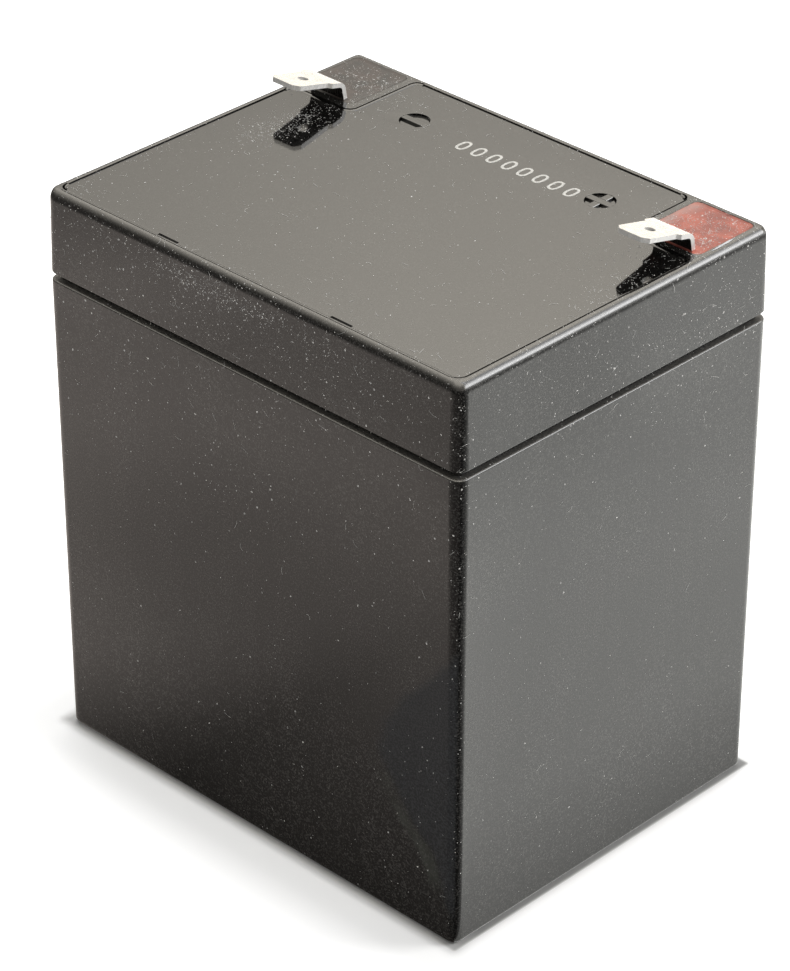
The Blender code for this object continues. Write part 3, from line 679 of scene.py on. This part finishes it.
def make_meniscus(side, resin, climb):
    """The resin's edge, which closes the joint and is drawn up a little on the walls."""
    spots = [vertex.co for vertex in NODES[f"epoxy_seal_{side}"].data.vertices]
    outer = max(abs(spot.x) for spot in spots)
    inner = min(abs(spot.x) for spot in spots)
    back = max(spot.y for spot in spots)
    sign = 1 if side == "positive" else -1
    near_x, far_x = inner + WELL_RADIUS, outer - WELL_RADIUS
    near_y, far_y = WELL_FRONT + WELL_RADIUS, back - WELL_RADIUS
    centres = [(far_x, far_y), (far_x, near_y), (near_x, near_y), (near_x, far_y)]
    section = [(0.00050, 0.0), (0.00030, 0.20), (0.00015, 0.55), (-0.00006, 1.0)]
    size, steps = len(section), 6
    vertices, faces = [], []
    for quarter, centre in enumerate(centres):
        for step in range(steps + 1):
            angle = pi / 2 * (quarter + step / steps)
            outward = Vector((sin(angle), cos(angle)))
            top = climb * max(abs(outward.x), outward.y) + 0.00001
            if outward.x * sign < -0.5:
                top = LEFT_CLIMB
            for inset, share in section:
                place = Vector(centre) + outward * (WELL_RADIUS - inset)
                height = PLATE_TOP + top * share + 0.000004 - 0.00001 * (1 - share)
                vertices.append((sign * place.x, place.y, height))
    count = len(centres) * (steps + 1)
    for index in range(count):
        following = (index + 1) % count
        for part in range(size - 1):
            low, high = size * index + part, size * following + part
            faces.append((low, high, high + 1, low + 1))
    make_piece(f"resin_edge_{side}", vertices, faces, resin)


make_marks()
make_meniscus("negative", BLACK, 0.00018)
make_meniscus("positive", RED, 0.00011)
make_edges()
make_notch_shadows()
make_rim_painted_highlight()
make_print()
make_fillet("negative", BLACK)
make_fillet("positive", RED)


# Dust: small flakes and fibres that lie on the outside

# Where the dust lies thicker: the middle, the reach along each axis and how much thicker
CLUSTERS = [
    ((-0.0045, -0.0350, 0.0970), (0.0140, 0.0020, 0.0016), 24),
    ((-0.0180, -0.0350, 0.0965), (0.0090, 0.0020, 0.0020), 8),
    ((-0.0360, -0.0350, 0.0980), (0.0080, 0.0020, 0.0030), 5),
    ((0.0200, -0.0350, 0.0965), (0.0100, 0.0020, 0.0030), 5),
    ((-0.0420, -0.0320, 0.1008), (0.0050, 0.0040, 0.0010), 10),
    ((-0.0430, -0.0200, 0.1008), (0.0020, 0.0120, 0.0010), 8),
    ((-0.0345, 0.0030, 0.1008), (0.0038, 0.0050, 0.0010), 26),
    ((-0.0330, 0.0110, 0.1008), (0.0036, 0.0060, 0.0010), 26),
    ((-0.0300, 0.0260, 0.1008), (0.0060, 0.0080, 0.0010), 8),
    ((-0.0370, 0.0280, 0.1008), (0.0060, 0.0070, 0.0010), 12),
    ((0.0405, 0.0030, 0.1008), (0.0024, 0.0080, 0.0010), 12),
    ((0.0330, 0.0100, 0.1008), (0.0040, 0.0060, 0.0010), 8),
    ((0.0385, 0.0265, 0.1008), (0.0060, 0.0080, 0.0010), 34),
    ((-0.0100, -0.0350, 0.0930), (0.0350, 0.0020, 0.0080), 3),
    ((0.0450, 0.0000, 0.0930), (0.0020, 0.0350, 0.0080), 2),
    ((0.0430, -0.0150, 0.1008), (0.0020, 0.0160, 0.0010), 6),
    ((0.0300, -0.0330, 0.1008), (0.0140, 0.0020, 0.0010), 6),
    ((-0.0100, -0.0335, 0.1008), (0.0300, 0.0015, 0.0010), 5),
    ((0.0450, -0.0345, 0.0600), (0.0012, 0.0012, 0.0450), 5),
    ((0.0000, 0.0340, 0.1008), (0.0350, 0.0015, 0.0010), 4),
    ((-0.0150, -0.0350, 0.0700), (0.0300, 0.0020, 0.0140), 1.2),
    ((0.0450, 0.0250, 0.0900), (0.0020, 0.0120, 0.0120), 2),
]


def dust_density(point):
    """How thick the dust lies: little on the lower half, more above it, and most near the top."""
    total = 0.22 if point.z < 0.05 else 0.34 if point.z < 0.076 else 1.0
    for middle, reach, gain in CLUSTERS:
        away = sum(((point[axis] - middle[axis]) / reach[axis]) ** 2 for axis in range(3))
        if away < 9:
            total += gain * exp(-away)
    return total


def outer_triangles():
    """The triangles that dust can settle on, as corners and normal."""
    band, top_band = 0.0015, 0.0013
    found = []
    for name in ("case", "lid", "vent_cover", "epoxy_seal_negative", "epoxy_seal_positive"):
        data = NODES[name].data
        for face in data.polygons:
            middle, normal = face.center, face.normal
            out_x, out_y = middle.x * normal.x > 0, middle.y * normal.y > 0
            on_end = abs(middle.x) > HALF_LENGTH - band and out_x and abs(normal.x) > 0.3
            on_side = abs(middle.y) > HALF_WIDTH - band and out_y and abs(normal.y) > 0.3
            on_top = middle.z > PLATE_TOP - top_band and normal.z > 0.3
            on_ledge = abs(middle.z - LEDGE_TOP) < 0.0004 and normal.z > 0.9 and name == "case"
            if on_end or on_side or on_top or on_ledge:
                corners = [data.vertices[index].co.copy() for index in face.vertices]
                for last in range(2, len(corners)):
                    found.append((corners[0], corners[last - 1], corners[last], normal.copy()))
    return found


def outer_places(chance, count, triangles, peak=28.0):
    """Random places on the triangles, closer together where the dust is denser."""
    weights = [(b - a).cross(c - a).length for a, b, c, _ in triangles]
    places = []
    while len(places) < count:
        a, b, c, normal = chance.choices(triangles, weights)[0]
        u, v = chance.random(), chance.random()
        if u + v > 1:
            u, v = 1 - u, 1 - v
        point = a + (b - a) * u + (c - a) * v
        if chance.random() * peak < dust_density(point):
            places.append((point, normal))
    return places


def inside_box(point):
    low, high = CAD_BOX
    return Vector([min(max(point[axis], low[axis]), high[axis]) for axis in range(3)])


def make_specks(count):
    chance = random.Random(11)
    vertices, faces = [], []
    for point, normal in outer_places(chance, count, outer_triangles()):
        across = normal.orthogonal().normalized()
        beside = normal.cross(across)
        size = min(0.000062 * exp(chance.gauss(0, 0.5)), 0.00019) * (0.85 if normal.z > 0.3 else 1.0)
        corners = chance.randint(5, 7)
        turn = chance.random() * tau
        long_way = chance.uniform(0.6, 1.0)
        first = len(vertices)
        vertices.append(inside_box(point + normal * (0.000006 + size * 0.7)))
        for corner in range(corners):
            angle = tau * corner / corners
            reach = size * chance.uniform(0.7, 1.3)
            u, v = reach * cos(angle), reach * sin(angle) * long_way
            spread = across * (u * cos(turn) - v * sin(turn)) + beside * (u * sin(turn) + v * cos(turn))
            vertices.append(inside_box(point + spread + normal * 0.000004))
        for corner in range(corners):
            following = (corner + 1) % corners
            faces.append((first, first + 1 + corner, first + 1 + following))
    make_piece("dust_specks", vertices, faces, SPECK, smooth=False)


def make_fibres(count):
    chance = random.Random(23)
    vertices, faces = [], []
    for point, normal in outer_places(chance, count, outer_triangles()):
        across = normal.orthogonal().normalized()
        beside = normal.cross(across)
        heading = chance.random() * tau
        curl = chance.gauss(0, 1.1)
        length = chance.uniform(0.0004, 0.0018)
        half = chance.uniform(0.000014, 0.000026)
        steps = 5
        first = len(vertices)
        spot = point + normal * 0.00002
        for step in range(steps + 1):
            way = across * cos(heading) + beside * sin(heading)
            side = normal.cross(way) * half
            lift = normal * 0.00003 * sin(pi * step / steps)
            vertices.append(inside_box(spot + side + lift))
            vertices.append(inside_box(spot - side + lift))
            heading += curl / steps
            spot = spot + way * (length / steps)
        for step in range(steps):
            low = first + 2 * step
            faces.append((low, low + 1, low + 3, low + 2))
    make_piece("dust_fibres", vertices, faces, SPECK, smooth=False)


make_specks(11000)
make_fibres(520)


# Studio: floor, world and lamps

NEAREST_CORNER = Vector((HALF_LENGTH, -HALF_WIDTH, 0))
FLOOR_COLOUR = (0.80, 0.80, 0.79, 1)
DARK_FLOOR = (0.02, 0.02, 0.02, 1)
LEFT_TINT = (1.12, 1.0, 0.92)
RIGHT_TINT = (1.0, 1.0, 0.96)
WHITE = (1, 1, 1, 1)
WARM = (1.06, 1.0, 0.89, 1)


def studio_place(right, away, up):
    return RIGHT * right + AWAY * away + UP * up


def footprint_distance(tree, place):
    """How far a place on the floor is from the battery's base."""
    x, y, _ = coordinates(tree, place)
    squares = []
    for value, half in ((x, HALF_LENGTH), (y, HALF_WIDTH)):
        past = larger(tree, minus(tree, calculate(tree, "ABSOLUTE", value), half), 0.0)
        squares.append(times(tree, past, past))
    return calculate(tree, "SQRT", plus(tree, *squares))


def seen_glow(tree, place):
    """The floor's own white toward the camera, dimmer near the battery, and how pale the floor is, darker
    right at the base on its right side: both paint the battery's shadow on the floor.
    """
    distance = footprint_distance(tree, place)
    # Painted shadow: the white fades toward the battery along these profiles
    left = profile(tree, distance, [
        (0, 0.0), (0.0005, 0.13), (0.001, 0.24), (0.0015, 0.37), (0.0022, 0.51), (0.006, 0.55),
        (0.0085, 0.64), (0.011, 0.74), (0.016, 0.92), (0.030, 1.0)])
    right = profile(tree, distance, [
        (0, 0.0), (0.0003, 0.06), (0.0005, 0.18), (0.0007, 0.28), (0.001, 0.37), (0.0015, 0.46),
        (0.002, 0.52), (0.003, 0.58), (0.005, 0.64), (0.010, 0.75), (0.030, 0.95)])
    # Painted shadow: on the right side the floor's colour darkens within a millimetre of the base
    painted_contact_shade = profile(tree, distance, [
        (0, 0.42), (0.00025, 0.52), (0.0005, 0.78), (0.0007, 0.97), (0.0010, 1.0)])
    share = ramp(tree, along(tree, moved(tree, place, -NEAREST_CORNER), RIGHT), -0.004, 0.004)
    return mix(tree, share, left, right), mix(tree, share, 1.0, painted_contact_shade)


def mirrored_left(tree, place, turn):
    """The floor in the left face's gloss: shaded close by, with two darker places further off."""
    x, y, _ = coordinates(tree, place)
    share = profile(tree, turn, [(-1.60, 1), (-1.50, 0.80), (-1.36, 0.50), (-1.10, 0.32),
                                 (-0.70, 0.25), (0.10, 0.20), (0.70, 0)])
    beyond = larger(tree, minus(tree, -0.020, x), 0.0)
    shade = plus(tree, minus(tree, -HALF_WIDTH, y), times(tree, beyond, 1.5))
    glow = profile(tree, shade, [(0, 0.09), (0.006, 0.13), (0.025, 0.24), (0.050, 0.52), (0.075, 0.80),
                                 (0.110, 0.97)])
    far = profile(tree, length_of(tree, place), [(0.225, 1), (0.30, 0.3), (0.40, 0.12)])
    glow = times(tree, glow, far)
    zone = stretched(tree, moved(tree, place, (0.060, 0.088, 0)), (1 / 0.055, 1 / 0.038, 1))
    glow = times(tree, glow, ramp(tree, length_of(tree, zone), 0.2, 1.2, 0.66, 1.0, soft=True))
    dimmed = times(tree, ramp(tree, y, -0.128, -0.146), ramp(tree, x, -0.152, -0.128, -0.10, 0.20))
    glow = times(tree, glow, minus(tree, 1.0, dimmed))
    return times(tree, glow, share)


def mirrored_right(tree, place, turn):
    """The floor in the right face's gloss: bright close by, dimmer and then bright again further off."""
    x, y, _ = coordinates(tree, place)
    share = profile(tree, turn, [(0.55, 0), (0.90, 0.10), (1.15, 0.20), (1.40, 0.42), (1.52, 0.85),
                                 (1.585, 1.28), (1.63, 1.16), (1.70, 1.05), (1.80, 1)])
    out = minus(tree, x, HALF_LENGTH)
    glow = profile(tree, larger(tree, out, minus(tree, y, HALF_WIDTH)), [
        (0, 1.12), (0.005, 1.3), (0.020, 1.78), (0.060, 2.0), (0.160, 1.82), (0.200, 1.1), (0.270, 0.5),
        (0.400, 0.6), (0.600, 1.3), (1.300, 3.0)])
    across = minus(tree, y, times(tree, out, 1.024))
    uneven = profile(tree, across, [(-0.034, 0.84), (-0.026, 0.93), (0.0, 0.84), (0.010, 0.88),
                                    (0.018, 1.08), (0.034, 1.10)])
    glow = times(tree, glow, mix(tree, ramp(tree, x, 0.125, 0.140), 1.0, uneven))
    return times(tree, glow, share)


def make_floor():
    data = bpy.data.meshes.new("floor")
    half = 3.0
    corners = [(-half, -half, 0), (half, -half, 0), (half, half, 0), (-half, half, 0)]
    data.from_pydata(corners, [], [(0, 1, 2, 3)])
    floor = bpy.data.objects.new("floor", data)
    bpy.context.scene.collection.objects.link(floor)
    material, tree, shader = new_material("floor")
    shader.inputs["Roughness"].default_value = 0.9
    shader.inputs["Specular IOR Level"].default_value = 0.2
    path = add(tree, "ShaderNodeLightPath")
    gloss = path.outputs["Is Glossy Ray"]
    place = object_place(tree)
    glow, painted_contact_shade = seen_glow(tree, place)
    pale = mix_colour(tree, painted_contact_shade, DARK_FLOOR, FLOOR_COLOUR)
    tree.links.new(mix_colour(tree, gloss, pale, DARK_FLOOR), shader.inputs["Base Color"])
    seen = times(tree, glow, path.outputs["Is Camera Ray"])
    corner = moved(tree, place, -NEAREST_CORNER)
    turn = calculate(tree, "ARCTAN2", along(tree, corner, RIGHT), along(tree, corner, -AWAY))
    left, right = mirrored_left(tree, place, turn), mirrored_right(tree, place, turn)
    channels = {}
    for channel in range(3):
        mirrored_both = plus(tree, times(tree, left, LEFT_TINT[channel]),
                             times(tree, right, RIGHT_TINT[channel]))
        channels[channel] = plus(tree, seen, times(tree, gloss, mirrored_both))
    tint = add(tree, "ShaderNodeCombineColor", channels)
    tree.links.new(tint.outputs[0], shader.inputs["Emission Color"])
    shader.inputs["Emission Strength"].default_value = 1.0
    data.materials.append(material)


def make_world():
    """White behind the battery, an even light for its colours, and soft panels for its gloss."""
    world = bpy.data.worlds.new("studio")
    bpy.context.scene.world = world
    world.use_nodes = True
    tree = world.node_tree
    background = tree.nodes["Background"]
    path = add(tree, "ShaderNodeLightPath")
    gloss = path.outputs["Is Glossy Ray"]
    way = add(tree, "ShaderNodeTexCoord").outputs["Generated"]
    height = coordinates(tree, way)[2]
    turn = calculate(tree, "ARCTAN2", along(tree, way, RIGHT), along(tree, way, AWAY))
    back = profile(tree, height, [(0, 0.95), (0.17, 1.05), (0.30, 1.25), (0.42, 1.58), (0.46, 2.15),
                                  (0.50, 2.68), (0.62, 3.6), (0.80, 5.0), (1.0, 5.5)])
    left = profile(tree, height, [(-0.05, 0.25), (0.05, 0.35), (0.18, 0.75), (0.29, 1.3), (0.43, 2.1),
                                  (0.58, 3.0), (0.73, 4.4), (0.80, 5.3), (1.0, 5.5)])
    left_share = profile(tree, turn, [(-2.6, 0.6), (-1.7, 1), (-1.2, 1), (-0.15, 0.30), (0.0, 0)])
    sideways = profile(tree, turn, [(-0.4, 0.95), (-0.10, 0.80), (0.0, 0.99), (0.1, 1.03)])
    panels = times(tree, mix(tree, left_share, back, left), sideways)
    box_height = profile(tree, height, [(-0.02, 0), (0.08, 12), (0.22, 12), (0.42, 5), (0.55, 0)])
    box_share = profile(tree, turn, [(1.15, 0), (1.40, 1), (1.95, 1), (2.2, 0)])
    panels = plus(tree, panels, times(tree, box_height, box_share))
    even = plus(tree, 0.30, times(tree, path.outputs["Is Camera Ray"], 0.70))
    warmth = times(tree, gloss, ramp(tree, box_share, 0, 1, 1, 0))
    tree.links.new(mix_colour(tree, warmth, WHITE, WARM), background.inputs["Color"])
    tree.links.new(mix(tree, gloss, even, panels), background.inputs["Strength"])


def make_lamp(name, place, width, height, radiance):
    """A soft panel that lights the colours. The world has panels like it for the gloss."""
    data = bpy.data.lights.new(name, "AREA")
    data.shape = "RECTANGLE"
    data.size = width
    data.size_y = height
    data.energy = radiance * pi * width * height
    lamp = bpy.data.objects.new(name, data)
    lamp.location = place
    lamp.rotation_euler = (place - Vector((0, 0, 0.05))).to_track_quat("Z", "Y").to_euler()
    bpy.context.scene.collection.objects.link(lamp)
    lamp.visible_camera = False
    lamp.visible_glossy = False


make_floor()
make_world()
make_lamp("back_panel", studio_place(0, 0.95, 0.62), 1.3, 0.75, 2.5)
make_lamp("key_panel", studio_place(0.80, 0.07, 0.60), 0.36, 0.36, 12.0)

scene = bpy.context.scene
scene.view_settings.view_transform = "Standard"
